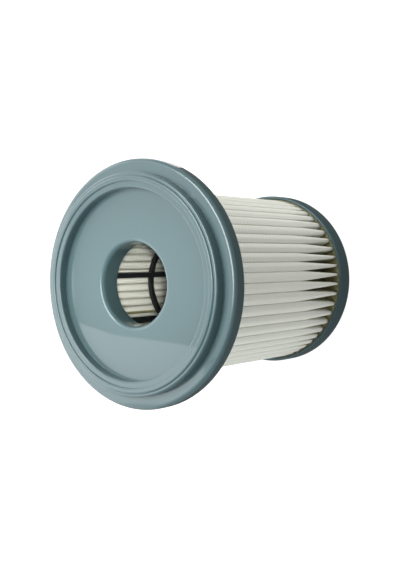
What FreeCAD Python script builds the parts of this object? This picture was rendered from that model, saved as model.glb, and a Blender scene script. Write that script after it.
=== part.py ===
# A pleated cartridge filter for a vacuum cleaner, standing on its rear cap.
# The filter's axis is Z, the rear cap's outer face lies at z = 0 and the outlet opens towards +Z.
# All lengths are in millimetres and all angles in degrees.

import FreeCAD, Part
import Sketcher
import math
import os

doc = FreeCAD.newDocument("cartridge_filter")
# The driving sizes, and the sizes worked out from them, which start with an equals sign.
sizes = {
    # Heights of the whole cartridge.
    "overall_height": 138.5,  # rear face of the rear cap to the top of the bead on the front flange
    "wall": 2.2,  # wall thickness of the front flange moulding
    # Front flange, from the rim inwards.
    "rim_radius": 62.9,  # outside of the flange rim
    "rim_height": 6.9,  # depth of the rim from its front face to its rear edge
    "rim_rounding": 2.0,  # rounding of the rim's front edge
    "rim_edge_bevel": 0.4,  # bevel of the rim's rear edges
    "rim_width": 7.0,  # width of the rim's front face outside the raised ring
    "step_radius": "=rim_radius - rim_width",  # outside of the raised ring on the flange
    "step_height": 5.0,  # front face of the rim to the ledge on the raised ring
    "step_rounding": 0.8,  # rounding of the raised ring's outer edge
    "outer_ledge": 1.7,  # width of the ledge outside the bead on the raised ring
    "bead_width": 3.1,  # width of the bead on the raised ring
    "inner_ledge": 3.1,  # width of the ledge between the bead and the recess
    "bead_outer_radius": "=step_radius - outer_ledge",  # outside of the bead
    "bead_inner_radius": "=bead_outer_radius - bead_width",  # inside of the bead
    "bead_height": 0.7,  # height of the bead above the ledge
    "bead_bevel": 0.4,  # bevel of the bead's edges
    "recess_radius": "=bead_inner_radius - inner_ledge",  # wall of the recess inside the raised ring
    "recess_depth": 4.5,  # ledge on the raised ring to the recess floor
    "recess_rounding": 0.75,  # rounding of the recess wall's upper edge
    "outlet_rounding": 2.3,  # rounding of the outlet's mouth
    "tube_length": 10.8,  # recess floor to the inner end of the outlet tube
    "ledge_height": "=overall_height - bead_height",  # height of the ledge on the raised ring
    "rim_face_height": "=ledge_height - step_height",  # height of the rim's front face
    "rim_back_height": "=rim_face_height - rim_height",  # height of the rim's rear edge
    "floor_height": "=ledge_height - recess_depth",  # height of the recess floor
    "floor_back_height": "=floor_height - wall",  # height of the recess floor's inner side
    "tube_end_height": "=floor_height - tube_length",  # height of the outlet tube's inner end
    "skirt_inner": "=rim_radius - wall",  # inside of the rim
    "rim_under_height": "=rim_face_height - wall",  # inner side of the rim's front face
    "ring_hollow_outer": "=step_radius - wall",  # outer side of the hollow behind the raised ring
    "ring_hollow_inner": "=recess_radius + wall",  # inner side of the hollow behind the raised ring
    "ring_hollow_height": "=ledge_height - wall",  # top of the hollow behind the raised ring
    # Walls and glue of the front channel, which lies behind the recess floor.
    "dam_wall": 1.6,  # thickness of the walls beside the glue beds
    "front_dam_depth": 7.1,  # depth of the front glue channel
    "front_bed_depth": 3.0,  # depth of the glue in the front channel
    "front_bed_outer": "=ring_hollow_inner - dam_wall",  # outside of the front glue bed
    "front_dam_end": "=floor_back_height - front_dam_depth",  # height of the front channel's free edges
    "front_bed_height": "=floor_back_height - front_bed_depth",  # height of the front glue surface
    # Folded media.
    "bed_clearance": 0.5,  # gap between the ridges and the wall round the front glue bed
    "fold_depth": 12.8,  # depth of the folds
    "crest_radius": "=front_bed_outer - bed_clearance",  # radius that the ridges reach
    "root_radius": "=crest_radius - fold_depth",  # radius that the inner folds reach
    "fold_count": 54,  # number of folds round the cartridge
    "sheet_thickness": 0.4,  # thickness of the filter sheet
    "crown_drop": 2.0,  # how far a crown's shoulders lie inside its ridge
    "crown_gap": 0.5,  # gap between the shoulders of neighbouring crowns
    "root_share": 0.755,  # part of the pitch that an inner bend fills
    "root_bend": "=root_share * pi * root_radius / fold_count",  # bend radius of an inner fold
    "first_fold_angle": 1.67,  # angle of the first ridge from +X
    "seam_fold_number": 30,  # number of the fold beside the sheet's glued seam
    "seam_fill": 0.45,  # part of the flank that the seam's glue covers
    "root_clearance": 1.7,  # gap between the inner folds and the wall within a glue bed
    "bed_inner": "=root_radius - root_clearance",  # inside of both glue beds
    "dam_inner": "=bed_inner - dam_wall",  # inside of the walls within the glue beds
    # Radii of the support cage, its locating walls and the outlet tube, from the folds inwards.
    "locator_gap": 3.7,  # gap between the walls within the glue beds and the locating walls
    "locator_outer": "=dam_inner - locator_gap",  # outside of the walls that locate the cage
    "locator_inner": "=locator_outer - dam_wall",  # inside of the walls that locate the cage
    "cage_clearance": 0.2,  # gap between the cage and the walls that locate it
    "cage_outer": "=locator_inner - cage_clearance",  # outside of the support cage
    "cage_wall": 2.0,  # radial thickness of the support cage
    "cage_inner": "=cage_outer - cage_wall",  # inside of the support cage
    "cage_gap": 1.3,  # gap between the outlet tube and the support cage round it
    "tube_outer": "=cage_inner - cage_gap",  # outside of the outlet tube
    "outlet_radius": "=tube_outer - wall",  # bore of the outlet
    # Rear cap.
    "cap_height": 10.8,  # height of the rear cap's skirt
    "cap_skirt_wall": 1.8,  # thickness of the rear cap's skirt
    "cap_clearance": 0.6,  # gap between the ridges and the rear cap's skirt
    "rear_bed_outer": "=crest_radius + cap_clearance",  # outside of the rear glue bed
    "cap_radius": "=rear_bed_outer + cap_skirt_wall",  # outside of the rear cap
    "cap_floor": 2.6,  # thickness of the rear cap's floor at its rest ring
    "cap_rear_rounding": 1.2,  # rounding of the rear cap's outer rear edge
    "cap_lip_bevel": 0.4,  # bevel of the skirt's front edges
    "rest_width": 12.5,  # width of the ring that the rear cap stands on
    "panel_radius": "=cap_radius - rest_width",  # radius of the shallow panel in the rear face
    "panel_depth": 1.0,  # depth of the shallow panel in the rear face
    "rear_bed_drop": 2.0,  # how far the rear glue surface lies below the skirt's edge
    "rear_bed_height": "=cap_height - rear_bed_drop",  # height of the rear glue surface
    # Rings, ribs and windows of the support cage.
    "cage_rib_count": 6,  # number of ribs on the support cage
    "cage_rib_width": 2.8,  # width of a rib, measured round the middle of its wall
    "cage_end_ring": 4.0,  # height of the end rings of the support cage
    "cage_ring": 2.5,  # height of the two rings between them
    "cage_front_ring_height": 90.5,  # height of the middle of the front ring
    "cage_rear_ring_height": 47.5,  # height of the middle of the rear ring
    "cage_turn_angle": 20.1,  # angle of the first window's middle from +X
    "cage_locator_height": 3.0,  # height of the walls that locate the cage
    "locator_front_end": "=floor_back_height - cage_locator_height",  # free edge of the front locator
    "locator_rear_end": "=cap_floor + cage_locator_height",  # free edge of the rear locator
    "front_end_ring_base": "=floor_back_height - cage_end_ring",  # rear edge of the front end ring
    "rear_end_ring_top": "=cap_floor + cage_end_ring",  # front edge of the rear end ring
    "front_ring_top": "=cage_front_ring_height + cage_ring / 2",  # front ring's front edge
    "front_ring_base": "=cage_front_ring_height - cage_ring / 2",  # front ring's rear edge
    "rear_ring_top": "=cage_rear_ring_height + cage_ring / 2",  # rear ring's front edge
    "rear_ring_base": "=cage_rear_ring_height - cage_ring / 2",  # rear ring's rear edge
    "window_inner": "=cage_inner - 1",  # inner side of the cut that opens the windows
    "window_outer": "=cage_outer + 1",  # outer side of the cut that opens the windows
    "rib_angle": "=360 * cage_rib_width / (2 * pi * (cage_inner + cage_wall / 2))",  # angle of a rib
    "window_angle": "=360 / cage_rib_count - rib_angle",  # angle of a window
}
sheet = doc.addObject("Spreadsheet::Sheet", "Sizes")
for row, (name, value) in enumerate(sizes.items(), 1):
    sheet.set("A%d" % row, name)
    sheet.set("B%d" % row, str(value))
    sheet.setAlias("B%d" % row, name)
doc.recompute()


def amount(name):
    """Reads one size back from the sheet."""
    return float(sheet.get(name))


def new_body(name):
    """An empty body whose label is the name of its piece."""
    body = doc.addObject("PartDesign::Body", name)
    body.Label = name
    return body


def hold(sketch, kind, line, distance, formula):
    """Holds the start of a line at a distance from the origin that the sheet gives."""
    index = sketch.addConstraint(Sketcher.Constraint(kind, -1, 1, line, 1, distance))
    sketch.setExpression("Constraints[%d]" % index, formula)


def half_section(body, name, outlines):
    """A sketch in the XZ plane of closed outlines, each corner held at a radius and a height.

    A corner on the axis gives None as its radius, and a corner at the rear face None as its height.
    """
    sketch = body.newObject("Sketcher::SketchObject", name)
    plane = [item for item in body.Origin.OriginFeatures if item.Role == "XZ_Plane"][0]
    sketch.AttachmentSupport = [(plane, "")]
    sketch.MapMode = "FlatFace"
    for corners in outlines:
        first = sketch.GeometryCount
        count = len(corners)
        spots = []
        for radius, height in corners:
            across = amount(radius) if radius else 0.0
            up = amount(height) if height else 0.0
            spots.append(FreeCAD.Vector(across, up, 0))
        for index in range(count):
            sketch.addGeometry(Part.LineSegment(spots[index], spots[(index + 1) % count]), False)
        for index in range(count):
            following = first + (index + 1) % count
            sketch.addConstraint(Sketcher.Constraint("Coincident", first + index, 2, following, 1))
        for index, (radius, height) in enumerate(corners):
            line = first + index
            if radius:
                hold(sketch, "DistanceX", line, amount(radius), "Sizes." + radius)
            else:
                sketch.addConstraint(Sketcher.Constraint("PointOnObject", line, 1, -2))
            if height:
                hold(sketch, "DistanceY", line, amount(height), "Sizes." + height)
            else:
                sketch.addConstraint(Sketcher.Constraint("PointOnObject", line, 1, -1))
    doc.recompute()
    return sketch


def turned(body, name, outlines):
    """The solid of revolution of a half section about the filter's axis."""
    sketch = half_section(body, name + "_section", outlines)
    solid = body.newObject("PartDesign::Revolution", name + "_turned")
    solid.Profile = sketch
    solid.ReferenceAxis = (sketch, ["V_Axis"])
    solid.Angle = 360
    sketch.Visibility = False
    doc.recompute()
    return solid


def softened(body, kind, name, base, rings, amount_name):
    """Rounds or bevels the circular edges that lie at the given radii and heights."""
    picked = []
    for ring_radius, ring_height in rings:
        across = amount(ring_radius)
        up = amount(ring_height) if ring_height else 0.0
        for index, edge in enumerate(base.Shape.Edges):
            if edge.Curve.TypeId != "Part::GeomCircle":
                continue
            if abs(edge.Curve.Radius - across) < 0.01 and abs(edge.Curve.Center.z - up) < 0.01:
                picked.append("Edge%d" % (index + 1))
    if len(picked) != len(rings):
        raise RuntimeError("%s found %d of %d edges" % (name, len(picked), len(rings)))
    feature = body.newObject("PartDesign::" + kind, name)
    feature.Base = (base, picked)
    feature.setExpression("Radius" if kind == "Fillet" else "Size", "Sizes." + amount_name)
    doc.recompute()
    return feature


# Front flange: one hollow moulding with the rim, the raised ring, the recess and the outlet tube.
# Behind it stand the two walls of the glue channel and the low wall that locates the cage.
flange = new_body("front_flange")
flange_solid = turned(flange, "flange", [[
    ("outlet_radius", "tube_end_height"), ("outlet_radius", "floor_height"),
    ("recess_radius", "floor_height"), ("recess_radius", "ledge_height"),
    ("bead_inner_radius", "ledge_height"), ("bead_inner_radius", "overall_height"),
    ("bead_outer_radius", "overall_height"), ("bead_outer_radius", "ledge_height"),
    ("step_radius", "ledge_height"), ("step_radius", "rim_face_height"),
    ("rim_radius", "rim_face_height"), ("rim_radius", "rim_back_height"),
    ("skirt_inner", "rim_back_height"), ("skirt_inner", "rim_under_height"),
    ("ring_hollow_outer", "rim_under_height"), ("ring_hollow_outer", "ring_hollow_height"),
    ("ring_hollow_inner", "ring_hollow_height"), ("ring_hollow_inner", "front_dam_end"),
    ("front_bed_outer", "front_dam_end"), ("front_bed_outer", "floor_back_height"),
    ("bed_inner", "floor_back_height"), ("bed_inner", "front_dam_end"),
    ("dam_inner", "front_dam_end"), ("dam_inner", "floor_back_height"),
    ("locator_outer", "floor_back_height"), ("locator_outer", "locator_front_end"),
    ("locator_inner", "locator_front_end"), ("locator_inner", "floor_back_height"),
    ("tube_outer", "floor_back_height"), ("tube_outer", "tube_end_height"),
]])
for kind, name, rings, amount_name in [
    ("Fillet", "rim_front", [("rim_radius", "rim_face_height")], "rim_rounding"),
    ("Fillet", "step_edge", [("step_radius", "ledge_height")], "step_rounding"),
    ("Fillet", "recess_edge", [("recess_radius", "ledge_height")], "recess_rounding"),
    ("Fillet", "outlet_mouth", [("outlet_radius", "floor_height")], "outlet_rounding"),
    ("Chamfer", "bead_edges", [("bead_outer_radius", "overall_height"),
                               ("bead_inner_radius", "overall_height")], "bead_bevel"),
    ("Chamfer", "rim_rear", [("rim_radius", "rim_back_height"),
                             ("skirt_inner", "rim_back_height")], "rim_edge_bevel"),
]:
    flange_solid = softened(flange, kind, name, flange_solid, rings, amount_name)

# Rear cap: a closed disc with a skirt, the glue bed's inner wall and the cage's locating wall.
cap = new_body("rear_end_cap")
cap_solid = turned(cap, "cap", [[
    (None, "panel_depth"), ("panel_radius", "panel_depth"), ("panel_radius", None),
    ("cap_radius", None), ("cap_radius", "cap_height"), ("rear_bed_outer", "cap_height"),
    ("rear_bed_outer", "cap_floor"), ("bed_inner", "cap_floor"), ("bed_inner", "rear_bed_height"),
    ("dam_inner", "rear_bed_height"), ("dam_inner", "cap_floor"), ("locator_outer", "cap_floor"),
    ("locator_outer", "locator_rear_end"), ("locator_inner", "locator_rear_end"),
    ("locator_inner", "cap_floor"), (None, "cap_floor"),
]])
cap_solid = softened(cap, "Fillet", "cap_rear_edge", cap_solid, [("cap_radius", None)],
                     "cap_rear_rounding")
cap_solid = softened(cap, "Chamfer", "cap_lip", cap_solid,
                     [("cap_radius", "cap_height"), ("rear_bed_outer", "cap_height")],
                     "cap_lip_bevel")

# Glue beds, each a ring of set adhesive that the ends of the folded sheet stand in.
front_bed = new_body("front_potting")
turned(front_bed, "front_bed", [[
    ("bed_inner", "front_bed_height"), ("front_bed_outer", "front_bed_height"),
    ("front_bed_outer", "floor_back_height"), ("bed_inner", "floor_back_height"),
]])
rear_bed = new_body("rear_potting")
turned(rear_bed, "rear_bed", [[
    ("bed_inner", "cap_floor"), ("rear_bed_outer", "cap_floor"),
    ("rear_bed_outer", "rear_bed_height"), ("bed_inner", "rear_bed_height"),
]])

# Support cage: a tube with three rows of windows, which leaves upright ribs and four rings.
cage = new_body("support_cage")
turned(cage, "cage", [[
    ("cage_inner", "cap_floor"), ("cage_outer", "cap_floor"),
    ("cage_outer", "floor_back_height"), ("cage_inner", "floor_back_height"),
]])
window_rows = [("rear_end_ring_top", "rear_ring_base"), ("rear_ring_top", "front_ring_base"),
               ("front_ring_top", "front_end_ring_base")]
window_section = half_section(cage, "window_section", [[
    ("window_inner", low), ("window_outer", low), ("window_outer", high), ("window_inner", high),
] for low, high in window_rows])
window_cut = cage.newObject("PartDesign::Groove", "window_cut")
window_cut.Profile = window_section
window_cut.ReferenceAxis = (window_section, ["V_Axis"])
window_cut.Midplane = True
window_cut.setExpression("Angle", "Sizes.window_angle")
window_section.Visibility = False
doc.recompute()
window_pattern = cage.newObject("PartDesign::PolarPattern", "window_pattern")
window_pattern.Originals = [window_cut]
window_pattern.Axis = (window_section, ["V_Axis"])
window_pattern.Angle = 360
window_pattern.setExpression("Occurrences", "Sizes.cage_rib_count")
cage.Tip = window_pattern
cage.setExpression("Placement.Rotation.Angle", "Sizes.cage_turn_angle")
doc.recompute()


def polar(radius, angle):
    """A point in the plane at a radius and an angle in radians."""
    return FreeCAD.Vector(radius * math.cos(angle), radius * math.sin(angle), 0)


def fold_angles():
    """The pitch of the folds and the angle of the first ridge, in radians."""
    pitch = 2 * math.pi / amount("fold_count")
    return pitch, math.radians(amount("first_fold_angle"))


def crown():
    """Radius of a ridge and of its shoulders in the middle of the sheet, and the angle between them."""
    pitch, _ = fold_angles()
    half_sheet = amount("sheet_thickness") / 2
    shoulder_radius = amount("crest_radius") - amount("crown_drop")
    turn = pitch / 2 - (half_sheet + amount("crown_gap") / 2) / shoulder_radius
    slope = math.atan2(amount("crown_drop"), shoulder_radius * turn)
    return amount("crest_radius") - half_sheet / math.cos(slope), shoulder_radius, turn


def inner_bend():
    """Points round an inner bend, from the near flank to the far one, in the bend's own frame.

    Each flank is the line from a shoulder that touches the bend.
    """
    pitch, _ = fold_angles()
    _, shoulder_radius, turn = crown()
    bend = amount("root_bend")
    centre = amount("root_radius") + amount("sheet_thickness") / 2 + bend
    shoulder = polar(shoulder_radius, pitch / 2 - turn) - FreeCAD.Vector(centre, 0, 0)
    start = math.atan2(shoulder.y, shoulder.x) + math.acos(bend / shoulder.Length)
    steps = 4
    points = []
    for step in range(steps + 1):
        angle = start + 2 * (math.pi - start) * step / steps
        points.append(FreeCAD.Vector(centre, 0, 0) + polar(bend, -angle))
    return points


def sheet_middle():
    """The middle of the sheet all the way round: ridge, shoulder, inner bend and next shoulder."""
    pitch, start = fold_angles()
    ridge_radius, shoulder_radius, turn = crown()
    bend = inner_bend()
    points = []
    for fold in range(int(amount("fold_count"))):
        bearing = start + fold * pitch
        points.append(polar(ridge_radius, bearing))
        points.append(polar(shoulder_radius, bearing + turn))
        for point in bend:
            points.append(polar(point.Length, bearing + pitch / 2 + math.atan2(point.y, point.x)))
        points.append(polar(shoulder_radius, bearing + pitch - turn))
    return points


def sheet_skin(middle, offset):
    """A closed line moved outwards by an offset, with mitred corners."""
    points = []
    for index, here in enumerate(middle):
        back = (here - middle[index - 1]).normalize()
        ahead = (middle[(index + 1) % len(middle)] - here).normalize()
        along = back + ahead
        mitre = FreeCAD.Vector(along.y, -along.x, 0) / (1 + back.dot(ahead))
        points.append(here + mitre * offset)
    return points


def closed_wire(points):
    """A closed wire through the points."""
    return Part.makePolygon(points + [points[0]])


def upright(face):
    """A face drawn at height zero, extruded to the height between the two glue surfaces."""
    height = amount("front_bed_height") - amount("rear_bed_height")
    return face.extrude(FreeCAD.Vector(0, 0, height))


# Filter media: one long sheet folded round the cartridge and standing between the glue beds.
half_sheet = amount("sheet_thickness") / 2
middle = sheet_middle()
outer_skin = sheet_skin(middle, half_sheet)
inner_skin = sheet_skin(middle, -half_sheet)
media = doc.addObject("Part::Feature", "pleated_media")
media.Label = "pleated_media"
wires = [closed_wire(outer_skin), closed_wire(inner_skin)]
media.Shape = upright(Part.makeFace(wires, "Part::FaceMakerBullseye"))
media.setExpression("Placement.Base.z", "Sizes.rear_bed_height")

# Seam glue: it fills the bottom of one groove between two folds, where the sheet's ends meet.
points_per_fold = len(middle) // int(amount("fold_count"))
first = int(amount("seam_fold_number")) * points_per_fold + 1
near_shoulder, *groove, far_shoulder = outer_skin[first:first + points_per_fold - 1]
fill = amount("seam_fill")
near_top = groove[0] + (near_shoulder - groove[0]) * fill
far_top = groove[-1] + (far_shoulder - groove[-1]) * fill
seam = doc.addObject("Part::Feature", "seam_bead")
seam.Label = "seam_bead"
seam.Shape = upright(Part.Face(closed_wire([near_top] + groove + [far_top])))
seam.setExpression("Placement.Base.z", "Sizes.rear_bed_height")
doc.recompute()

pieces = [flange, cap, front_bed, rear_bed, cage, media, seam]
for item in doc.Objects:
    if "Invalid" in item.State or "Error" in item.State:
        raise RuntimeError("%s is %s" % (item.Name, item.State))
for piece in pieces:
    if piece.Shape.isNull() or not piece.Shape.isValid() or len(piece.Shape.Solids) != 1:
        raise RuntimeError("%s has no sound solid" % piece.Label)

os.makedirs("parts", exist_ok=True)
for piece in pieces:
    piece.Shape.exportStep("parts/%s.step" % piece.Label)
    box = piece.Shape.BoundBox
    print("%s volume %.1f, z %.2f to %.2f, across %.2f"
          % (piece.Label, piece.Shape.Volume, box.ZMin, box.ZMax, box.XLength))
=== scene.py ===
import math

import bmesh
import bpy
import numpy as np
from bpy.props import FloatProperty, FloatVectorProperty, IntProperty, PointerProperty
from mathutils import Matrix, Vector


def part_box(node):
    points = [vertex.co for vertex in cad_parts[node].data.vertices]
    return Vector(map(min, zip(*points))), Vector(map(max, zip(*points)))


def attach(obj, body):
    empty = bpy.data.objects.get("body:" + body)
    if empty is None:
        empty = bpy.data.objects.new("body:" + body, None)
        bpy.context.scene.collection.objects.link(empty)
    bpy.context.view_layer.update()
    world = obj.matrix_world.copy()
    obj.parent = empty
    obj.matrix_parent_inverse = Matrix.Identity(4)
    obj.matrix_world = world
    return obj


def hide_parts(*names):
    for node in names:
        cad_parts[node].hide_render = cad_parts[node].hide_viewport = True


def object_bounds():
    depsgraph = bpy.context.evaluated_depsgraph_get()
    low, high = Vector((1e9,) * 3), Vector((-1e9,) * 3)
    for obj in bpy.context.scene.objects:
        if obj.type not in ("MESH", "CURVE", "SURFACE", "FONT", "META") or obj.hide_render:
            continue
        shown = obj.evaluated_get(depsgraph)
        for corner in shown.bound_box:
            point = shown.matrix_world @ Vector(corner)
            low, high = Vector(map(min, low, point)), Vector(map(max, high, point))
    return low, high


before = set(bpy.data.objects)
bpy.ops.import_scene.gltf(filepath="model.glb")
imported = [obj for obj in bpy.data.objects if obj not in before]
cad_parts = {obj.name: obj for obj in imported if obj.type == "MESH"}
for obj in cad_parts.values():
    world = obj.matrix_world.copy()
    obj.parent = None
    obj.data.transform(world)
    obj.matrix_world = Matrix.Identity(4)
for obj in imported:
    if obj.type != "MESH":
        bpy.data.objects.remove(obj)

bl_info = {
    "name": "Cartridge filter looks",
    "version": (1, 0, 0),
    "blender": (4, 5, 0),
    "location": "3D View > Sidebar > Filter",
    "description": "Dresses the packed cartridge filter and sets its stage",
    "category": "Object",
}

CAD_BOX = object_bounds()
FLANGE_LOW, FLANGE_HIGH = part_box("front_flange")
CAP_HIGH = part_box("rear_end_cap")[1]
MEDIA_LOW, MEDIA_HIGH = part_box("pleated_media")
BED_LOW, BED_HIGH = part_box("rear_potting")
MM = 0.001

# Shares of the way at which a fold's outline has its points: from the ridge to the shoulder, from
# the shoulder to the inner bend, and round that bend.
CROWN_STEPS = np.array([0.0, 0.22, 0.5, 0.78, 0.93])[:, None]
FLANK_STEPS = np.array([0.015, 0.06, 0.35, 0.7])[:, None]
BEND_STEPS = np.linspace(0, 1, 5)

# What the lamps face: the flange's front face and the middle of the folds.
FLANGE_FACE = (0, 0, FLANGE_HIGH[2])
FOLDS_MIDDLE = (0, 0, 0.08)

# Rectangular lamps: name, place, target, width, height, power, colour, and whether gloss shows it.
LAMPS = (
    ("key_lamp", (-0.14, 0.26, 1.05), FLANGE_FACE, 0.46, 0.75, 9.5, (1.0, 0.975, 0.95), True),
    ("top_lamp", (-0.26, 0, 1.22), FLANGE_FACE, 0.5, 0.5, 8.5, (1.0, 1.0, 1.0), False),
    ("upper_lamp", (0.20, 0.93, 0.32), FOLDS_MIDDLE, 0.8, 0.6, 5.4, (1.0, 0.995, 0.97), False),
    ("lower_lamp", (0.25, -0.88, 0.38), FOLDS_MIDDLE, 0.8, 0.6, 4.8, (0.98, 1.0, 1.0), False),
)

# Cards that only gloss sees: name, glow and corners. The dark ones are black flags in the white.
CARDS = (
    ("dark_table", 0.12, ((-0.05, -0.03, 0.0), (-0.4, -0.03, 0.0), (-0.4, -0.6, 0.0),
                          (0.8, -0.6, 0.0), (0.8, 0.6, 0.0), (-0.05, 0.6, 0.0))),
    ("pale_wall", 2.7, ((-0.8, -0.070, 0.80), (-0.8, -0.118, 0.95), (-0.8, -0.147, 1.12),
                        (-0.8, -0.166, 1.22), (-0.8, -0.29, 1.22), (-0.8, -0.22, 0.80))),
    ("dark_ceiling", 0.05, ((-0.79, 0.6, 1.34), (-0.79, -0.19, 1.34), (-0.79, -0.19, 1.23),
                            (-0.79, -0.6, 1.23), (-0.79, -0.6, 2.5), (-0.79, 0.6, 2.5))),
    ("left_wall", 2.3, ((-0.81, -0.6, 0.2), (-0.81, 0.7, 0.2), (-0.81, 0.7, 0.86),
                        (-0.81, -0.6, 0.86))),
)


class FlangeSizes(bpy.types.PropertyGroup):
    """Sizes of the front flange."""

    wall: FloatProperty(name="Wall", description="Thickness of the moulding's walls",
                        default=2.2 * MM, unit="LENGTH")
    rim_width: FloatProperty(name="Rim width", description="Flat face outside the raised ring",
                             default=7.0 * MM, unit="LENGTH")
    rim_height: FloatProperty(name="Rim height", description="Depth of the rim",
                              default=6.9 * MM, unit="LENGTH")
    rim_rounding: FloatProperty(name="Rim rounding", description="Rounding of the rim's front edge",
                                default=2.0 * MM, unit="LENGTH")
    step_height: FloatProperty(name="Ring height", description="Height of the raised ring",
                               default=5.0 * MM, unit="LENGTH")
    step_rounding: FloatProperty(name="Ring rounding", description="Rounding of the ring's edge",
                                 default=0.9 * MM, unit="LENGTH")
    outer_ledge: FloatProperty(name="Outer ledge", description="Ledge outside the bead",
                               default=1.7 * MM, unit="LENGTH")
    bead_width: FloatProperty(name="Bead width", description="Width of the bead on the ring",
                              default=3.1 * MM, unit="LENGTH")
    bead_height: FloatProperty(name="Bead height", description="Height of the bead on the ring",
                               default=0.7 * MM, unit="LENGTH")
    bead_slope: FloatProperty(name="Bead slope", description="Run of the bead's sloping sides",
                              default=0.35 * MM, unit="LENGTH")
    bead_rounding: FloatProperty(name="Bead rounding", description="Rounding of the bead's edges",
                                 default=0.95 * MM, unit="LENGTH")
    inner_ledge: FloatProperty(name="Inner ledge", description="Ledge between bead and recess",
                               default=3.1 * MM, unit="LENGTH")
    recess_depth: FloatProperty(name="Recess depth", description="Ledge to the recess floor",
                                default=4.5 * MM, unit="LENGTH")
    recess_rounding: FloatProperty(name="Recess rounding", description="Rounding of the recess edge",
                                   default=1.0 * MM, unit="LENGTH")
    foot_rounding: FloatProperty(name="Foot rounding", description="Fillets at the feet of the walls",
                                 default=0.5 * MM, unit="LENGTH")
    outlet_radius: FloatProperty(name="Outlet radius", description="Bore of the outlet",
                                 default=21.0 * MM, unit="LENGTH")
    outlet_rounding: FloatProperty(name="Outlet rounding", description="Rounding of the outlet's mouth",
                                   default=2.3 * MM, unit="LENGTH")
    dam_wall: FloatProperty(name="Channel wall", description="Walls beside the glue",
                            default=1.6 * MM, unit="LENGTH")
    dam_depth: FloatProperty(name="Channel depth", description="Depth of the glue channel",
                             default=7.1 * MM, unit="LENGTH")
    bed_width: FloatProperty(name="Channel width", description="Width of the glue channel",
                             default=15.0 * MM, unit="LENGTH")
    locator_radius: FloatProperty(name="Locator radius", description="Inside of the cage's locating wall",
                                  default=26.7 * MM, unit="LENGTH")
    locator_height: FloatProperty(name="Locator height", description="Height of that wall",
                                  default=3.0 * MM, unit="LENGTH")
    edge_break: FloatProperty(name="Edge break", description="Least rounding of a moulded edge",
                              default=0.18 * MM, unit="LENGTH")


class CapSizes(bpy.types.PropertyGroup):
    """Sizes of the rear end cap."""

    skirt_wall: FloatProperty(name="Skirt wall", description="Thickness of the skirt",
                              default=1.8 * MM, unit="LENGTH")
    floor: FloatProperty(name="Floor", description="Thickness of the floor at its rest ring",
                         default=2.6 * MM, unit="LENGTH")
    rear_rounding: FloatProperty(name="Rear rounding", description="Rounding of the outer rear edge",
                                 default=1.2 * MM, unit="LENGTH")
    lip_rounding: FloatProperty(name="Lip rounding", description="Rounding of the skirt's front edges",
                                default=0.7 * MM, unit="LENGTH")
    rest_width: FloatProperty(name="Rest width", description="Width of the ring that it stands on",
                              default=12.5 * MM, unit="LENGTH")
    panel_depth: FloatProperty(name="Panel depth", description="Depth of the panel in the rear face",
                               default=1.0 * MM, unit="LENGTH")
    bed_drop: FloatProperty(name="Bed drop", description="Lip to the glue surface",
                            default=2.0 * MM, unit="LENGTH")


class FoldSizes(bpy.types.PropertyGroup):
    """Sizes of the folded sheet."""

    count: IntProperty(name="Folds", description="Number of folds", default=54, min=3)
    first_angle: FloatProperty(name="First fold", description="Angle of the first crease from +X",
                               default=math.radians(1.67), unit="ROTATION")
    depth: FloatProperty(name="Fold depth", description="Crease to inner fold",
                         default=12.8 * MM, unit="LENGTH")
    thickness: FloatProperty(name="Sheet thickness", description="Thickness of the sheet",
                             default=0.4 * MM, unit="LENGTH")
    crown_drop: FloatProperty(name="Crown drop", description="Ridge of a crown to its shoulders",
                              default=1.1 * MM, unit="LENGTH")
    crown_least: FloatProperty(name="Least crown drop",
                               description="Least share of that drop, round the back",
                               default=0.25, min=0.1, max=1)
    crown_gap: FloatProperty(name="Crown gap", description="Gap between neighbouring crowns",
                             default=0.015 * MM, unit="LENGTH")
    crown_bulge: FloatProperty(name="Crown bulge", description="How far a crown's faces belly out",
                               default=0.08 * MM, unit="LENGTH")
    finger_drop: FloatProperty(name="Finger drop", description="Ridge to shoulders at the glue",
                               default=0.7 * MM, unit="LENGTH")
    finger_half: FloatProperty(name="Finger half width", description="Half a fold's width at the glue",
                               default=0.24 * MM, unit="LENGTH")
    root_bend: FloatProperty(name="Inner bend", description="Inner bend radius between the beds",
                             default=1.72 * MM, unit="LENGTH")
    root_finger_bend: FloatProperty(name="Inner finger bend",
                                    description="Inner bend radius at the glue",
                                    default=0.9 * MM, unit="LENGTH")
    rear_reach: FloatProperty(name="Rear reach", description="Length of the open gaps at the rear cap",
                              default=38.0 * MM, unit="LENGTH")
    rear_least: FloatProperty(name="Least reach",
                              description="Least share of that length, round the back",
                              default=0.25, min=0.05, max=1)
    rear_width: FloatProperty(name="Rear width",
                              description="Openness of the folds at the glue, round the back",
                              default=0.95, min=0, max=1)
    front_reach: FloatProperty(name="Front reach", description="Length of the open gaps at the flange",
                               default=7.0 * MM, unit="LENGTH")
    root_clearance: FloatProperty(name="Root clearance", description="Inner folds to the wall inside",
                                  default=1.7 * MM, unit="LENGTH")
    uneven: FloatProperty(name="Uneven spacing", description="Swing of the folds' bearings",
                          default=math.radians(0.75), unit="ROTATION")
    uneven_start: FloatProperty(name="Uneven start", description="Bearing where that swing is nil",
                                default=math.radians(-22.0), unit="ROTATION")
    scatter: FloatProperty(name="Scatter", description="Chance spread of the folds' bearings",
                           default=math.radians(0.18), unit="ROTATION")


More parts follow.
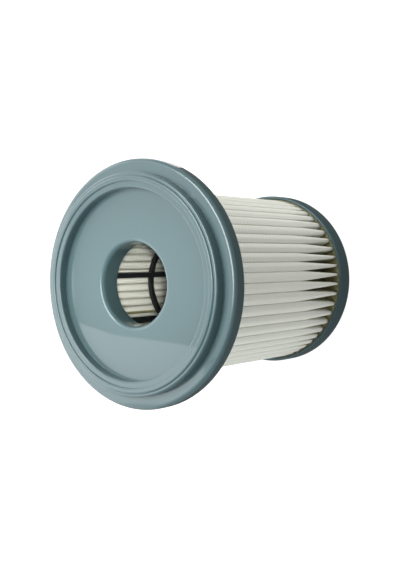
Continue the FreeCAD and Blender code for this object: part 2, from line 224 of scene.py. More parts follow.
class PlasticLook(bpy.types.PropertyGroup):
    """Colours and gloss of the pieces."""

    plastic_colour: FloatVectorProperty(name="Plastic", description="Blue-grey of flange and cap",
                                        subtype="COLOR", default=(0.062, 0.111, 0.122), min=0, max=1)
    plastic_pearl: FloatProperty(name="Pearl", description="Share of pearl flake in that plastic",
                                 default=0.20, min=0, max=1, subtype="FACTOR")
    flange_roughness: FloatProperty(name="Flange roughness", description="Under the clear coat",
                                    default=0.50, min=0, max=1, subtype="FACTOR")
    flange_coat: FloatProperty(name="Flange coat", description="Weight of the flange's clear gloss",
                               default=1.0, min=0, max=1, subtype="FACTOR")
    flange_coat_roughness: FloatProperty(name="Flange coat roughness",
                                         description="Roughness of that clear gloss",
                                         default=0.03, min=0, max=1, subtype="FACTOR")
    cap_roughness: FloatProperty(name="Cap roughness", description="Under the clear coat",
                                 default=0.38, min=0, max=1, subtype="FACTOR")
    cap_coat: FloatProperty(name="Cap coat", description="Weight of the cap's clear gloss",
                            default=0.3, min=0, max=1, subtype="FACTOR")
    cap_coat_roughness: FloatProperty(name="Cap coat roughness",
                                      description="Roughness of that clear gloss",
                                      default=0.10, min=0, max=1, subtype="FACTOR")
    cage_roughness: FloatProperty(name="Cage roughness", description="Roughness of the black plastic",
                                  default=0.38, min=0, max=1, subtype="FACTOR")
    scrim_pitch: FloatProperty(name="Scrim pitch", description="Spacing of the scrim's threads",
                               default=3.0 * MM, min=0.5 * MM, unit="LENGTH")
    paper_colour: FloatVectorProperty(name="Paper", description="Off-white of the folded sheet",
                                      subtype="COLOR", default=(0.79, 0.805, 0.735), min=0, max=1)
    # This olive is glue stain on the sheet's last millimetres and painted shade in the grooves near the
    # cap.
    stain_and_shade_colour: FloatVectorProperty(name="Stain", description="Olive of the paper beside the glue",
                                      subtype="COLOR", default=(0.42, 0.41, 0.25), min=0, max=1)
    glue_colour: FloatVectorProperty(name="Glue", description="Amber of the set glue",
                                     subtype="COLOR", default=(0.33, 0.315, 0.17), min=0, max=1)
    cage_colour: FloatVectorProperty(name="Cage", description="Black of the support cage",
                                     subtype="COLOR", default=(0.010, 0.012, 0.013), min=0, max=1)


class StageSettings(bpy.types.PropertyGroup):
    """Camera and light of the picture."""

    lens: FloatProperty(name="Lens", description="Focal length in millimetres", default=52.65)
    camera_place: FloatVectorProperty(name="Camera", description="Where the camera stands",
                                      subtype="TRANSLATION", default=(0.2824, 0.0090, 0.4405))
    elevation: FloatProperty(name="Elevation", description="Camera's view above the horizon",
                             default=math.radians(52.0), unit="ROTATION")
    azimuth: FloatProperty(name="Azimuth", description="Camera's bearing from +X",
                           default=math.radians(2.19), unit="ROTATION")
    ambient: FloatProperty(name="Ambient", description="Level of the world's soft light", default=0.30)
    outlet_cone: FloatProperty(name="Outlet cone", description="Spread of the lamp in the outlet",
                               default=math.radians(7.5), unit="ROTATION")
    outlet_power: FloatProperty(name="Outlet power", description="Power of that lamp in watts",
                                default=12.5)
    floor_size: FloatProperty(name="Floor", description="Side of the floor", default=8.0, unit="LENGTH")
    floor_gap: FloatProperty(name="Floor gap", description="Gap between the filter and the floor",
                             default=0.05 * MM, unit="LENGTH")
    floor_glow: FloatProperty(name="Floor glow", description="White that the floor shows by itself",
                              default=0.91)
    floor_matt: FloatProperty(name="Floor matt", description="Share of the light that it returns",
                              default=0.32, min=0, max=1)


class Value:
    """A shader socket that carries a number, with arithmetic that adds Math nodes."""

    def __init__(self, paint, socket):
        self.paint = paint
        self.socket = socket

    def math(self, operation, *values):
        """A Math node that works on the values, in the order of its sockets."""
        node = self.paint.node("ShaderNodeMath", {"operation": operation}, dict(enumerate(values)))
        return Value(self.paint, node.outputs[0])

    def __add__(self, other):
        return self.math("ADD", self, other)

    def __mul__(self, other):
        return self.math("MULTIPLY", self, other)

    def __sub__(self, other):
        return self.math("SUBTRACT", self, other)

    def __rsub__(self, other):
        return self.math("SUBTRACT", other, self)

    def high(self, other):
        """The greater of the two."""
        return self.math("MAXIMUM", self, other)

    def wave(self, pitch):
        """A smooth wave from 0 to 1 that repeats each pitch."""
        return self.math("SINE", self * (2 * math.pi / pitch)) * 0.5 + 0.5

    def power(self, exponent):
        """The value raised to an exponent."""
        return self.math("POWER", self, exponent)

    def step(self, start, end):
        """0 before start, 1 past end and a smooth turn between them."""
        node = self.paint.node("ShaderNodeMapRange", {"interpolation_type": "SMOOTHSTEP"},
                               {"Value": self, "From Min": start, "From Max": end})
        return Value(self.paint, node.outputs["Result"])


class Paint:
    """The node tree of a material or a world, with one method for every node."""

    def __init__(self, owner):
        self.owner = owner
        self.owner.use_nodes = True
        self.tree = self.owner.node_tree
        self.tree.nodes.clear()

    def node(self, kind, settings=None, inputs=None):
        """Adds a node, sets its properties, then sets or links its sockets."""
        node = self.tree.nodes.new(kind)
        for name, value in (settings or {}).items():
            setattr(node, name, value)
        for name, value in (inputs or {}).items():
            socket = node.inputs[name]
            if isinstance(value, Value):
                self.tree.links.new(value.socket, socket)
            elif isinstance(value, bpy.types.NodeSocket):
                self.tree.links.new(value, socket)
            else:
                socket.default_value = value
        return node

    def place(self):
        """X, Y and Z of the Object coordinates."""
        where = self.node("ShaderNodeTexCoord").outputs["Object"]
        parts = self.node("ShaderNodeSeparateXYZ", None, {"Vector": where})
        return where, [Value(self, socket) for socket in parts.outputs]

    def reach(self, where):
        """Distance from the filter's axis."""
        flat = self.node("ShaderNodeVectorMath", {"operation": "MULTIPLY"}, {0: where, 1: (1, 1, 0)})
        length = self.node("ShaderNodeVectorMath", {"operation": "LENGTH"}, {0: flat.outputs["Vector"]})
        return Value(self, length.outputs["Value"])

    def blend(self, share, first, second):
        """A colour between two colours."""
        mix = self.node("ShaderNodeMix", {"data_type": "RGBA"},
                        {"Factor": share, 6: first, 7: second})
        return mix.outputs[2]

    def noise(self, where, scale, detail=2.0, roughness=0.5):
        """A cloud of soft blots from 0 to 1, the smaller the larger the scale."""
        node = self.node("ShaderNodeTexNoise", None,
                         {"Vector": where, "Scale": scale, "Detail": detail, "Roughness": roughness})
        return Value(self, node.outputs["Fac"])

    def bump(self, height, distance, strength=1.0):
        """A normal that follows a height from 0 to 1, over a distance in metres."""
        node = self.node("ShaderNodeBump", None,
                         {"Height": height, "Distance": distance, "Strength": strength})
        return node.outputs["Normal"]

    def surface(self, inputs):
        """Ends the material with one Principled shader."""
        shader = self.node("ShaderNodeBsdfPrincipled", None, inputs)
        self.node("ShaderNodeOutputMaterial", None, {"Surface": shader.outputs["BSDF"]})
        return self.owner

    def shown_white(self):
        """1 for the rays that show the background: camera, gloss and glass."""
        path = self.node("ShaderNodeLightPath")
        seen = [Value(self, path.outputs[name])
                for name in ("Is Camera Ray", "Is Glossy Ray", "Is Transmission Ray")]
        return seen[0].high(seen[1]).high(seen[2])


def rgba(colour):
    """A colour with full opacity."""
    return (colour[0], colour[1], colour[2], 1.0)


def material_paint(name):
    """A new material's paint."""
    return Paint(bpy.data.materials.new(name))


def plastic(name, colour, roughness, pearl=0.0, coat=0.0, coat_roughness=0.1):
    """Moulded plastic with a faint mottle in its roughness, some pearl and a clear coat."""
    paint = material_paint(name)
    where, _ = paint.place()
    mottle = 0.06
    return paint.surface({
        "Base Color": rgba(colour),
        "Metallic": pearl,
        "Roughness": paint.noise(where, 90.0, 3.0) * mottle + (roughness - mottle / 2),
        "Coat Weight": coat,
        "Coat IOR": 1.5,
        "Coat Roughness": coat_roughness,
    })


def filter_paper(colour, stain_and_shade_colour, pitch):
    """Matt fibre sheet with a square scrim of that pitch, olive where it meets the rear glue.

    A thread runs where a wave along the sheet or up it peaks, and shows least on the side at -Y. The
    olive is painted shade in the grooves near the cap, deepest in them, and glue stain in blots on the
    sheet's last millimetres.
    """
    paint = material_paint("filter_paper")
    where, (_, across, height) = paint.place()
    flat = paint.node("ShaderNodeUVMap", {"uv_map": "sheet"}).outputs["UV"]
    parts = paint.node("ShaderNodeSeparateXYZ", None, {"Vector": flat})
    along = Value(paint, parts.outputs["X"])
    up = Value(paint, parts.outputs["Y"])
    sharpness = 4
    threads = along.wave(pitch).power(sharpness).high(up.wave(pitch).power(sharpness))
    faint = 0.25
    threads = threads * (across.step(-5 * MM, 30 * MM) * (1 - faint) + faint)
    fibre = paint.noise(where, 420.0, 4.0, 0.6)
    cloud = paint.noise(where, 60.0, 2.0)
    crest, glue = MEDIA_HIGH[0], BED_HIGH[2]
    # Painted shade: deep in the grooves near the cap the sheet takes the olive, which stands in for the
    # shade between the folds there.
    groove_shade = 1 - paint.reach(where).step(crest - 5 * MM, crest - 0.8 * MM)
    near_cap = 1 - height.step(glue + 8 * MM, glue + 40 * MM)
    foot = 1 - height.step(glue + 0.3 * MM, glue + 2.5 * MM)
    # The olive mask is the larger of the painted groove shade and the glue-stain blots at the foot.
    stain_and_shade = (near_cap * groove_shade).high(foot * cloud.step(0.35, 0.7))
    stained_and_shaded = paint.blend(stain_and_shade * 0.9, rgba(colour), rgba(stain_and_shade_colour))
    shaded = paint.blend(threads * 0.35, stained_and_shaded, rgba(Vector(colour) * 0.72))
    return paint.surface({
        "Base Color": shaded,
        "Roughness": 0.92,
        "Specular IOR Level": 0.2,
        "Normal": paint.bump(threads * 0.25 + fibre * 0.5, 0.12 * MM, 0.7),
    })


def set_glue(colour):
    """Cured adhesive: amber, unevenly thick, with a dull gloss."""
    paint = material_paint("set_glue")
    where, _ = paint.place()
    cloud = paint.noise(where, 160.0, 3.0)
    tone = paint.blend(cloud.step(0.35, 0.65), rgba(colour), rgba(Vector(colour) * 1.3))
    return paint.surface({
        "Base Color": tone,
        "Roughness": 0.42,
        "Normal": paint.bump(paint.noise(where, 260.0, 2.0), 0.5 * MM, 0.5),
    })


def finish_piece(mesh, name, material, nodes):
    """Links a mesh as a piece of the filter that stands for the given nodes."""
    piece = bpy.data.objects.new(name, mesh)
    bpy.context.scene.collection.objects.link(piece)
    mesh.materials.append(material)
    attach(piece, "root")
    if nodes:
        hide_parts(*nodes)
    return piece


def cover_node(node, material):
    """Gives a node of the frame its one material."""
    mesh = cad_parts[node].data
    mesh.materials.clear()
    mesh.materials.append(material)


def closed_grid(name, points, uv=None):
    """A mesh of quads on a grid that closes both ways.

    Corner (i, j) joins corners (i + 1, j), (i + 1, j + 1) and (i, j + 1), counted round the grid.
    Corners at one place are merged, and the faces are turned so that the volume is positive.
    """
    rows, columns = points.shape[:2]
    i, j = np.meshgrid(np.arange(rows), np.arange(columns), indexing="ij")
    following = (i + 1) % rows
    beside = (j + 1) % columns
    quads = np.stack([i * columns + j, following * columns + j,
                      following * columns + beside, i * columns + beside], axis=-1).reshape(-1, 4)
    spots = points.reshape(-1, 3)
    first, second, third, fourth = (spots[quads[:, k]] for k in range(4))
    volume = np.einsum("ij,ij->", first, np.cross(second, third) + np.cross(third, fourth))
    if volume < 0:
        quads = quads[:, ::-1]
    mesh = bpy.data.meshes.new(name)
    mesh.from_pydata(spots.tolist(), [], quads.tolist())
    if uv is not None:
        layer = mesh.uv_layers.new(name="sheet")
        layer.data.foreach_set("uv", uv.reshape(-1, 2)[quads.reshape(-1)].ravel())
    work = bmesh.new()
    work.from_mesh(mesh)
    bmesh.ops.remove_doubles(work, verts=work.verts, dist=1e-7)
    work.to_mesh(mesh)
    work.free()
    mesh.polygons.foreach_set("use_smooth", np.ones(len(mesh.polygons), dtype=bool))
    mesh.update()
    return mesh


def rounded_outline(corners, steps=6, guard=0.12 * MM):
    """A closed outline with its corners rounded.

    A corner is (radius, height, rounding). Each rounding is an arc that touches both sides, and a
    point is added just beyond either end of the arc so that shading stays on the rounding. On a
    short side the two points share what the arcs leave of it.
    """
    spots = np.array([corner[:2] for corner in corners])
    rounding = np.array([corner[2] for corner in corners])
    ahead = np.roll(spots, -1, axis=0) - spots
    room = np.linalg.norm(ahead, axis=1)
    ahead /= room[:, None]
    back = -np.roll(ahead, 1, axis=0)
    half = np.arccos((back * ahead).sum(axis=1).clip(-1, 1)) / 2
    reach = rounding / np.tan(half)
    spare = ((room - reach - np.roll(reach, -1)) / 2).clip(0, guard)
    middle = (back + ahead) / np.linalg.norm(back + ahead, axis=1, keepdims=True)
    centre = spots + middle * (rounding / np.sin(half))[:, None]
    share = np.linspace(0, 1, steps + 1)[:, None]
    outline = []
    for i, here in enumerate(spots):
        if rounding[i] <= 0:
            outline.append(here[None])
            continue
        start = here + back[i] * reach[i] - centre[i]
        end = here + ahead[i] * reach[i] - centre[i]
        sweep = math.pi - 2 * half[i]
        arc = (np.sin((1 - share) * sweep) * start + np.sin(share * sweep) * end) / math.sin(sweep)
        before = here + back[i] * (reach[i] + spare[i - 1])
        after = here + ahead[i] * (reach[i] + spare[i])
        outline += [before[None], centre[i] + arc, after[None]]
    return np.concatenate(outline)


def turned(name, outline, segments=224):
    """A closed outline of (radius, height) turned round Z."""
    angle = np.arange(segments) * (2 * math.pi / segments)
    radius = outline[:, 0, None]
    points = np.stack([radius * np.cos(angle), radius * np.sin(angle),
                       np.broadcast_to(outline[:, 1, None], (len(outline), segments))], axis=-1)
    return closed_grid(name, points)


def flange_outline(size):
    """Corners of the flange's half section, from the outlet round the front to the rear walls."""
    rim = FLANGE_HIGH[0]
    top = FLANGE_HIGH[2]
    ledge = top - size.bead_height
    face = ledge - size.step_height
    rim_back = face - size.rim_height
    floor = ledge - size.recess_depth
    under = floor - size.wall
    tube_end = FLANGE_LOW[2]
    step = rim - size.rim_width
    bead_outer = step - size.outer_ledge
    bead_inner = bead_outer - size.bead_width
    recess = bead_inner - size.inner_ledge
    hollow = recess + size.wall
    bed_outer = hollow - size.dam_wall
    bed_inner = bed_outer - size.bed_width
    dam_end = under - size.dam_depth
    locator_end = under - size.locator_height
    locator_outer = size.locator_radius + size.dam_wall
    tube = size.outlet_radius + size.wall
    fine = size.edge_break
    return [
        (size.outlet_radius, tube_end, fine), (size.outlet_radius, floor, size.outlet_rounding),
        (recess, floor, fine), (recess, ledge, size.recess_rounding),
        (bead_inner, ledge, fine), (bead_inner + size.bead_slope, top, size.bead_rounding),
        (bead_outer - size.bead_slope, top, size.bead_rounding), (bead_outer, ledge, fine),
        (step, ledge, size.step_rounding), (step, face, fine),
        (rim, face, size.rim_rounding), (rim, rim_back, size.foot_rounding),
        (rim - size.wall, rim_back, size.foot_rounding), (rim - size.wall, face - size.wall, fine),
        (step - size.wall, face - size.wall, fine), (step - size.wall, ledge - size.wall, fine),
        (hollow, ledge - size.wall, fine), (hollow, dam_end, fine),
        (bed_outer, dam_end, fine), (bed_outer, under, fine),
        (bed_inner, under, fine), (bed_inner, dam_end, fine),
        (bed_inner - size.dam_wall, dam_end, fine), (bed_inner - size.dam_wall, under, fine),
        (locator_outer, under, fine), (locator_outer, locator_end, fine),
        (size.locator_radius, locator_end, fine), (size.locator_radius, under, fine),
        (tube, under, fine), (tube, tube_end, fine),
    ]


def cap_outline(size, flange, folds):
    """Corners of the rear cap's half section, from the axis round the outside to the axis."""
    outer = CAP_HIGH[0]
    top = CAP_HIGH[2]
    inner = outer - size.skirt_wall
    panel = outer - size.rest_width
    bed_inner = MEDIA_HIGH[0] - folds.depth - folds.root_clearance
    dam_inner = bed_inner - flange.dam_wall
    locator_outer = flange.locator_radius + flange.dam_wall
    bed_top = top - size.bed_drop
    fine = flange.edge_break
    return [
        (0, size.panel_depth, 0), (panel, size.panel_depth, fine), (panel, 0, fine),
        (outer, 0, size.rear_rounding), (outer, top, size.lip_rounding), (inner, top, size.lip_rounding),
        (inner, size.floor, fine), (bed_inner, size.floor, fine), (bed_inner, bed_top, fine),
        (dam_inner, bed_top, fine), (dam_inner, size.floor, fine), (locator_outer, size.floor, fine),
        (locator_outer, size.floor + flange.locator_height, fine),
        (flange.locator_radius, size.floor + flange.locator_height, fine),
        (flange.locator_radius, size.floor, fine), (0, size.floor, 0),
    ]


def half_fold(size, delta, share, drop):
    """Half a fold in its ridge's own frame, along the middle of the sheet, from ridge to inner bend.

    delta is half the pitch, share is how open the fold is and drop is the open fold's crown drop.
    The crown falls from the ridge to a shoulder whose bearing is half the pitch less half the gap
    to the next crown. From there the sheet is the straight line that touches the inner bend, and
    then an arc to the bend's bottom. The arrays are broadcast over rows and folds, and the points
    run along a last axis.
    """
    crest = MEDIA_HIGH[0]
    half_sheet = size.thickness / 2
    shoulder_radius = crest - size.finger_drop - (drop - size.finger_drop) * share
    narrow = size.finger_half / shoulder_radius
    wide = delta - (half_sheet + size.crown_gap / 2) / shoulder_radius
    turn = narrow + (wide - narrow) * share
    slope = np.arctan2(crest - shoulder_radius, shoulder_radius * turn)
    ridge = crest - half_sheet / np.cos(slope).clip(0.5, 1)
    shoulder = np.stack([shoulder_radius * np.cos(turn), shoulder_radius * np.sin(turn)], axis=-1)
    start = np.stack([ridge, np.zeros_like(ridge)], axis=-1)
    belly = size.crown_bulge * 4 * CROWN_STEPS * (1 - CROWN_STEPS) * share[..., None, None]
    crown = start[..., None, :] + (shoulder - start)[..., None, :] * CROWN_STEPS + belly * [1.0, 0.0]
    bend = size.root_finger_bend + (size.root_bend - size.root_finger_bend) * share
    centre_radius = crest - size.depth + half_sheet + bend
    centre = np.stack([centre_radius * np.cos(delta), centre_radius * np.sin(delta)], axis=-1)
    reach = shoulder - centre
    touch = (np.arctan2(reach[..., 1], reach[..., 0])
             - np.arccos(bend / np.linalg.norm(reach, axis=-1)))
    angle = touch[..., None] + (delta - math.pi - touch)[..., None] * BEND_STEPS
    spoke = np.stack([np.cos(angle), np.sin(angle)], axis=-1)
    arc = centre[..., None, :] + bend[..., None, None] * spoke
    flank = shoulder[..., None, :] + (arc[..., 0, :] - shoulder)[..., None, :] * FLANK_STEPS
    return np.concatenate([crown, flank, arc], axis=-2)


def turn_points(points, angle):
    """Points in a plane turned about the origin, each row and fold by its own angle."""
    cosine = np.cos(angle)[..., None]
    sine = np.sin(angle)[..., None]
    x, y = points[..., 0], points[..., 1]
    return np.stack([x * cosine - y * sine, x * sine + y * cosine], axis=-1)


def mitred(points, offset):
    """Closed lines moved outwards by an offset, with mitred corners.

    With unit vectors a before and b after a corner, the corner moves by the offset times the sum of
    their right-hand normals divided by 1 + a.b, which is kept from falling under 0.4.
    """
    ahead = np.roll(points, -1, axis=1) - points
    ahead /= np.linalg.norm(ahead, axis=-1, keepdims=True)
    back = np.roll(ahead, 1, axis=1)
    both = ahead + back
    normal = np.stack([both[..., 1], -both[..., 0]], axis=-1)
    share = 1 + (ahead * back).sum(axis=-1, keepdims=True)
    return points + normal / share.clip(0.4, 2) * offset


def front_share(size):
    """Squared cosine of every fold's bearing from +X: 1 in front, 0 at the sides and behind."""
    bearing = size.first_angle + np.arange(size.count) * (2 * math.pi / size.count)
    return np.cos(bearing).clip(0, 1) ** 2


def openness(size, level, low, high, random):
    """How wide a fold is at each level: 0 at a glue bed, 1 where neighbouring crowns touch.

    The gaps at the rear cap are longest and widest on the side at +X, and shrink with the squared
    cosine of the bearing to a fraction of that. Each is up to a fifth longer or shorter by chance.
    """
    facing = front_share(size)
    share = size.rear_least + (1 - size.rear_least) * facing
    rear_reach = size.rear_reach * share * random.uniform(0.8, 1.2, size.count)
    least = size.rear_width * (1 - facing)
    rear = least + (1 - least) * np.clip((level[:, None] - low) / rear_reach, 0, 1)
    front = np.clip((high - level[:, None]) / size.front_reach, 0, 1)
    return np.minimum(rear, front) ** 0.9


def ridge_bearings(size, level, low, high, random):
    """Bearing of every ridge at every level: even steps, a swing, a lean and a sway.

    The swing is a wave three times round the ring and a weaker one six times round. The lean is one
    chance angle a fold, and the sway bows a fold between its ends by a chance angle.
    """
    even = size.first_angle + np.arange(size.count) * (2 * math.pi / size.count)
    swing = np.sin(3 * (even - size.uneven_start)) + 0.8 * np.sin(6 * (even - size.uneven_start))
    lean = random.normal(0, 1, size.count).clip(-2, 2) * size.scatter
    sway = random.uniform(-1, 1, size.count) * np.sin(math.pi * (level[:, None] - low) / (high - low))
    return even + swing * size.uneven + lean + sway * size.scatter


def folded_sheet(size):
    """The folded sheet as a closed surface, with its UV map in metres along and up the sheet.

    Each row is one level, and the rows crowd towards the rear cap, where the folds change most.
    Along most of its length a crown fills its pitch up to a hair's gap, and towards a glue bed it
    closes to a narrow finger. The two skins lie half a sheet either side of its middle.
    """
    random = np.random.default_rng(7)
    low, high = MEDIA_LOW[2], MEDIA_HIGH[2]
    rows = 30
    crowding = 0.7
    share = np.linspace(0, 1, rows)
    level = low + (high - low) * (share ** 1.8 * crowding + share * (1 - crowding))
    bearing = ridge_bearings(size, level, low, high, random)
    ahead = np.roll(bearing, -1, axis=1)
    ahead[:, -1] += 2 * math.pi
    delta = (ahead - bearing) / 2
    open_share = openness(size, level, low, high, random)
    drop = size.crown_drop * (size.crown_least + (1 - size.crown_least) * front_share(size))
    drop = np.broadcast_to(drop, open_share.shape)
    near = turn_points(half_fold(size, delta, open_share, drop), bearing)
    mirrored = half_fold(size, delta, np.roll(open_share, -1, axis=1), np.roll(drop, -1, axis=1))
    mirrored = mirrored * [1.0, -1.0]
    far = turn_points(mirrored, ahead)[..., -2:0:-1, :]
    middle = np.concatenate([near, far], axis=-2).reshape(rows, -1, 2)
    height = np.broadcast_to(level[:, None, None], middle.shape[:2] + (1,))
    outer = np.concatenate([mitred(middle, size.thickness / 2), height], axis=-1)
    inner = np.concatenate([mitred(middle, -size.thickness / 2), height], axis=-1)
    points = np.concatenate([outer, inner[::-1]])
    line = middle[rows // 2]
    step = np.linalg.norm(np.diff(line, axis=0, prepend=line[-1:]), axis=-1)
    along = np.broadcast_to(np.cumsum(step), points.shape[:2])
    uv = np.stack([along, points[..., 2]], axis=-1)
    return closed_grid("pleated_media_surface", points, uv)


def glue_bed(size, cap):
    """The rear glue bed: a ring whose surface climbs the skirt and swells between the folds.

    The surface lies at the bed's level. Two rises are added, and both die away from the skirt: a
    short one that climbs it, and a swelling between every two folds, whose height follows two slow
    waves round the ring.
    """
    climb, climb_reach = 0.15 * MM, 1.1 * MM
    swelling, swelling_reach = 1.1 * MM, 4.0 * MM
    least_swelling = 0.25
    segments, rings = 864, 18
    inner = MEDIA_HIGH[0] - size.depth - size.root_clearance
    outer = CAP_HIGH[0] - cap.skirt_wall
    angle = np.arange(segments) * (2 * math.pi / segments)
    radius = np.linspace(inner, outer, rings)[:, None]
    lobes = 0.5 - 0.5 * np.cos((angle - size.first_angle) * size.count)
    slow = 0.5 + 0.5 * np.sin(angle * 5 + 1.3) * np.sin(angle * 11 + 0.4)
    swell = lobes * (least_swelling + (1 - least_swelling) * slow)
    top = (BED_HIGH[2] + climb * np.exp((radius - outer) / climb_reach)
           + swelling * swell * np.exp((radius - outer) / swelling_reach))
    ring = np.broadcast_to(radius, top.shape)
    around = np.concatenate([ring, ring[::-1]])
    height = np.concatenate([top, np.full_like(top, BED_LOW[2])])
    points = np.stack([around * np.cos(angle), around * np.sin(angle), height], axis=-1)
    return closed_grid("rear_potting_surface", points)


class FILTER_OT_flange(bpy.types.Operator):
    """Turn the front flange and give it its satin plastic"""

    bl_idname = "filter.flange"
    bl_label = "Front flange"

    def execute(self, context):
        look = context.scene.filter_look
        outline = rounded_outline(flange_outline(context.scene.filter_flange))
        material = plastic("flange_plastic", look.plastic_colour, look.flange_roughness,
                           look.plastic_pearl, look.flange_coat, look.flange_coat_roughness)
        finish_piece(turned("front_flange_surface", outline), "front_flange_dress", material,
                     ["front_flange"])
        return {"FINISHED"}


class FILTER_OT_cap(bpy.types.Operator):
    """Turn the rear end cap and give it its satin plastic"""

    bl_idname = "filter.cap"
    bl_label = "Rear cap"

    def execute(self, context):
        scene = context.scene
        look = scene.filter_look
        corners = cap_outline(scene.filter_cap, scene.filter_flange, scene.filter_folds)
        material = plastic("cap_plastic", look.plastic_colour, look.cap_roughness,
                           look.plastic_pearl, look.cap_coat, look.cap_coat_roughness)
        finish_piece(turned("rear_end_cap_surface", rounded_outline(corners)), "rear_end_cap_dress",
                     material, ["rear_end_cap"])
        return {"FINISHED"}


class FILTER_OT_media(bpy.types.Operator):
    """Fold the filter sheet and give it its paper"""

    bl_idname = "filter.media"
    bl_label = "Folded media"

    def execute(self, context):
        look = context.scene.filter_look
        material = filter_paper(look.paper_colour, look.stain_and_shade_colour, look.scrim_pitch)
        finish_piece(folded_sheet(context.scene.filter_folds), "pleated_media_dress", material,
                     ["pleated_media"])
        return {"FINISHED"}


class FILTER_OT_glue(bpy.types.Operator):
    """Pour the glue beds and the seam"""

    bl_idname = "filter.glue"
    bl_label = "Set glue"

    def execute(self, context):
        material = set_glue(context.scene.filter_look.glue_colour)
        finish_piece(glue_bed(context.scene.filter_folds, context.scene.filter_cap),
                     "rear_potting_dress", material, ["rear_potting"])
        for node in ("front_potting", "seam_bead"):
            cover_node(node, material)
        return {"FINISHED"}


class FILTER_OT_cage(bpy.types.Operator):
    """Give the support cage its black plastic"""

    bl_idname = "filter.cage"
    bl_label = "Support cage"

    def execute(self, context):
        look = context.scene.filter_look
        cover_node("support_cage", plastic("cage_plastic", look.cage_colour, look.cage_roughness))
        return {"FINISHED"}


def placed_lamp(lamp, place, target, shown):
    """Puts a lamp at a place, turned to a point. Where gloss doesn't show it, the cards stand in."""
    item = bpy.data.objects.new(lamp.name, lamp)
    bpy.context.scene.collection.objects.link(item)
    item.location = place
    item.rotation_euler = (Vector(target) - Vector(place)).to_track_quat("-Z", "Y").to_euler()
    item.visible_glossy = shown


def softbox(name, place, target, width, height, power, colour, shown):
    """A rectangular studio lamp that faces a point."""
    lamp = bpy.data.lights.new(name, "AREA")
    lamp.shape = "RECTANGLE"
    lamp.size = width
    lamp.size_y = height
    lamp.energy = power
    lamp.color = colour
    placed_lamp(lamp, place, target, shown)


def snoot(name, place, target, cone, power, colour):
    """A narrow soft lamp that shines into the outlet and that gloss doesn't show."""
    lamp = bpy.data.lights.new(name, "SPOT")
    lamp.spot_size = cone
    lamp.spot_blend = 0.4
    lamp.shadow_soft_size = 0.03
    lamp.energy = power
    lamp.color = colour
    placed_lamp(lamp, place, target, False)


def stage_sheet(name, corners, material, faces=None):
    """A sheet that stands in the studio: one face round its corners, or the faces given."""
    mesh = bpy.data.meshes.new(name)
    mesh.from_pydata(corners, [], faces or [tuple(range(len(corners)))])
    mesh.materials.append(material)
    sheet = bpy.data.objects.new(name, mesh)
    bpy.context.scene.collection.objects.link(sheet)
    return sheet


def glow_card(name, level, corners, faces=None):
    """An evenly glowing card that only gloss sees, dark or bright beside the white studio."""
    paint = material_paint(name)
    glow = paint.node("ShaderNodeEmission", None, {"Color": (1, 1, 1, 1), "Strength": level})
    paint.node("ShaderNodeOutputMaterial", None, {"Surface": glow.outputs["Emission"]})
    card = stage_sheet(name, corners, paint.owner, faces)
    card.visible_camera = False
    card.visible_diffuse = False
    card.visible_shadow = False
    card.visible_transmission = False


def dark_dome(name, level, radius):
    """A dark dome over the camera's side of the studio, seen in gloss only, like black flags."""
    columns, rows = 24, 8
    bearing, rise = np.meshgrid(np.radians(np.linspace(-118.0, 118.0, columns + 1)),
                                np.radians(np.linspace(2.0, 80.0, rows + 1)))
    spots = np.stack([np.cos(rise) * np.cos(bearing), np.cos(rise) * np.sin(bearing), np.sin(rise)],
                     axis=-1) * radius
    corner = np.arange(rows)[:, None] * (columns + 1) + np.arange(columns)
    above = corner + columns + 1
    quads = np.stack([corner, corner + 1, above + 1, above], axis=-1).reshape(-1, 4)
    glow_card(name, level, spots.reshape(-1, 3).tolist(), quads.tolist())


def floor_material(glow_level, matt_level):
    """A white floor that takes a soft shadow and shows white to the camera and in gloss."""
    paint = material_paint("studio_floor")
    glow = paint.node("ShaderNodeEmission", None,
                      {"Color": (1, 1, 1, 1), "Strength": paint.shown_white() * glow_level})
    matt = paint.node("ShaderNodeBsdfDiffuse", None, {"Color": rgba([matt_level] * 3)})
    both = paint.node("ShaderNodeAddShader", None,
                      {0: glow.outputs["Emission"], 1: matt.outputs["BSDF"]})
    paint.node("ShaderNodeOutputMaterial", None, {"Surface": both.outputs["Shader"]})
    return paint.owner


def studio_floor(stage):
    """A square floor a hair below the filter."""
    half = stage.floor_size / 2
    corners = [(-half, -half, 0), (half, -half, 0), (half, half, 0), (-half, half, 0)]
    floor = stage_sheet("studio_floor", corners, floor_material(stage.floor_glow, stage.floor_matt))
    floor.location.z = CAD_BOX[0][2] - stage.floor_gap


def photo_camera(stage):
    """The camera that took the photo, as fitted to the filter's circles, with +Y up in the view."""
    camera = bpy.data.cameras.new("photo_camera")
    camera.lens = stage.lens
    camera.clip_start = 0.01
    item = bpy.data.objects.new("photo_camera", camera)
    bpy.context.scene.collection.objects.link(item)
    back = Vector((math.cos(stage.elevation) * math.cos(stage.azimuth),
                   math.cos(stage.elevation) * math.sin(stage.azimuth), math.sin(stage.elevation)))
    up = back.cross(Vector((1, 0, 0))).normalized()
    turn = Matrix((up.cross(back), up, back)).transposed()
    item.matrix_world = Matrix.Translation(stage.camera_place) @ turn.to_4x4()
    bpy.context.scene.camera = item


def white_world(ambient):
    """A world that is white to the camera and in gloss, and a soft level of light elsewhere."""
    paint = Paint(bpy.data.worlds.new("studio_world"))
    level = paint.node("ShaderNodeMapRange", None,
                       {"Value": paint.shown_white(), "To Min": ambient, "To Max": 1.0})
    back = paint.node("ShaderNodeBackground", None,
                      {"Color": (1, 1, 1, 1), "Strength": level.outputs["Result"]})
    paint.node("ShaderNodeOutputWorld", None, {"Surface": back.outputs["Background"]})
    bpy.context.scene.world = paint.owner


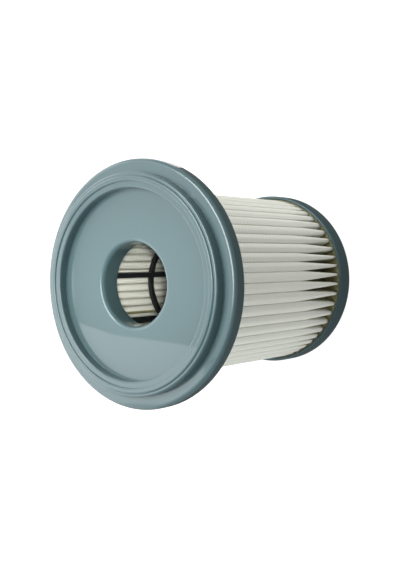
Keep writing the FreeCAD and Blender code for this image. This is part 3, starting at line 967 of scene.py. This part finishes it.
class FILTER_OT_stage(bpy.types.Operator):
    """Set the floor, the lamps and the camera of the picture"""

    bl_idname = "filter.stage"
    bl_label = "Stage"

    def execute(self, context):
        stage = context.scene.filter_stage
        studio_floor(stage)
        for lamp in LAMPS:
            softbox(*lamp)
        snoot("outlet_lamp", stage.camera_place, FLANGE_FACE, stage.outlet_cone, stage.outlet_power,
              (1.0, 0.985, 0.93))
        for card in CARDS:
            glow_card(*card)
        dark_dome("dark_room", 0.05, 1.3)
        white_world(stage.ambient)
        photo_camera(stage)
        context.scene.view_settings.view_transform = "Standard"
        return {"FINISHED"}


class FILTER_PT_panel(bpy.types.Panel):
    """Lists the pieces of the filter and its stage"""

    bl_idname = "FILTER_PT_panel"
    bl_label = "Cartridge filter"
    bl_space_type = "VIEW_3D"
    bl_region_type = "UI"
    bl_category = "Filter"

    def draw(self, context):
        for operator in OPERATORS:
            self.layout.operator(operator.bl_idname)
        for name in GROUPS:
            group = getattr(context.scene, name)
            column = self.layout.column()
            for key in type(group).__annotations__:
                column.prop(group, key)


OPERATORS = (FILTER_OT_flange, FILTER_OT_cap, FILTER_OT_media, FILTER_OT_glue, FILTER_OT_cage,
             FILTER_OT_stage)
GROUPS = {
    "filter_flange": FlangeSizes,
    "filter_cap": CapSizes,
    "filter_folds": FoldSizes,
    "filter_look": PlasticLook,
    "filter_stage": StageSettings,
}


def register():
    """Makes the settings, the operators and the panel known."""
    for group in GROUPS.values():
        bpy.utils.register_class(group)
    for operator in OPERATORS:
        bpy.utils.register_class(operator)
    bpy.utils.register_class(FILTER_PT_panel)
    for name, group in GROUPS.items():
        setattr(bpy.types.Scene, name, PointerProperty(type=group))


def unregister():
    """Takes the panel, the operators and the settings away again."""
    for name in GROUPS:
        delattr(bpy.types.Scene, name)
    bpy.utils.unregister_class(FILTER_PT_panel)
    for operator in reversed(OPERATORS):
        bpy.utils.unregister_class(operator)
    for group in reversed(list(GROUPS.values())):
        bpy.utils.unregister_class(group)


def main():
    """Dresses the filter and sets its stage."""
    register()
    bpy.ops.filter.flange()
    bpy.ops.filter.cap()
    bpy.ops.filter.media()
    bpy.ops.filter.glue()
    bpy.ops.filter.cage()
    bpy.ops.filter.stage()


if __name__ == "__main__":
    main()
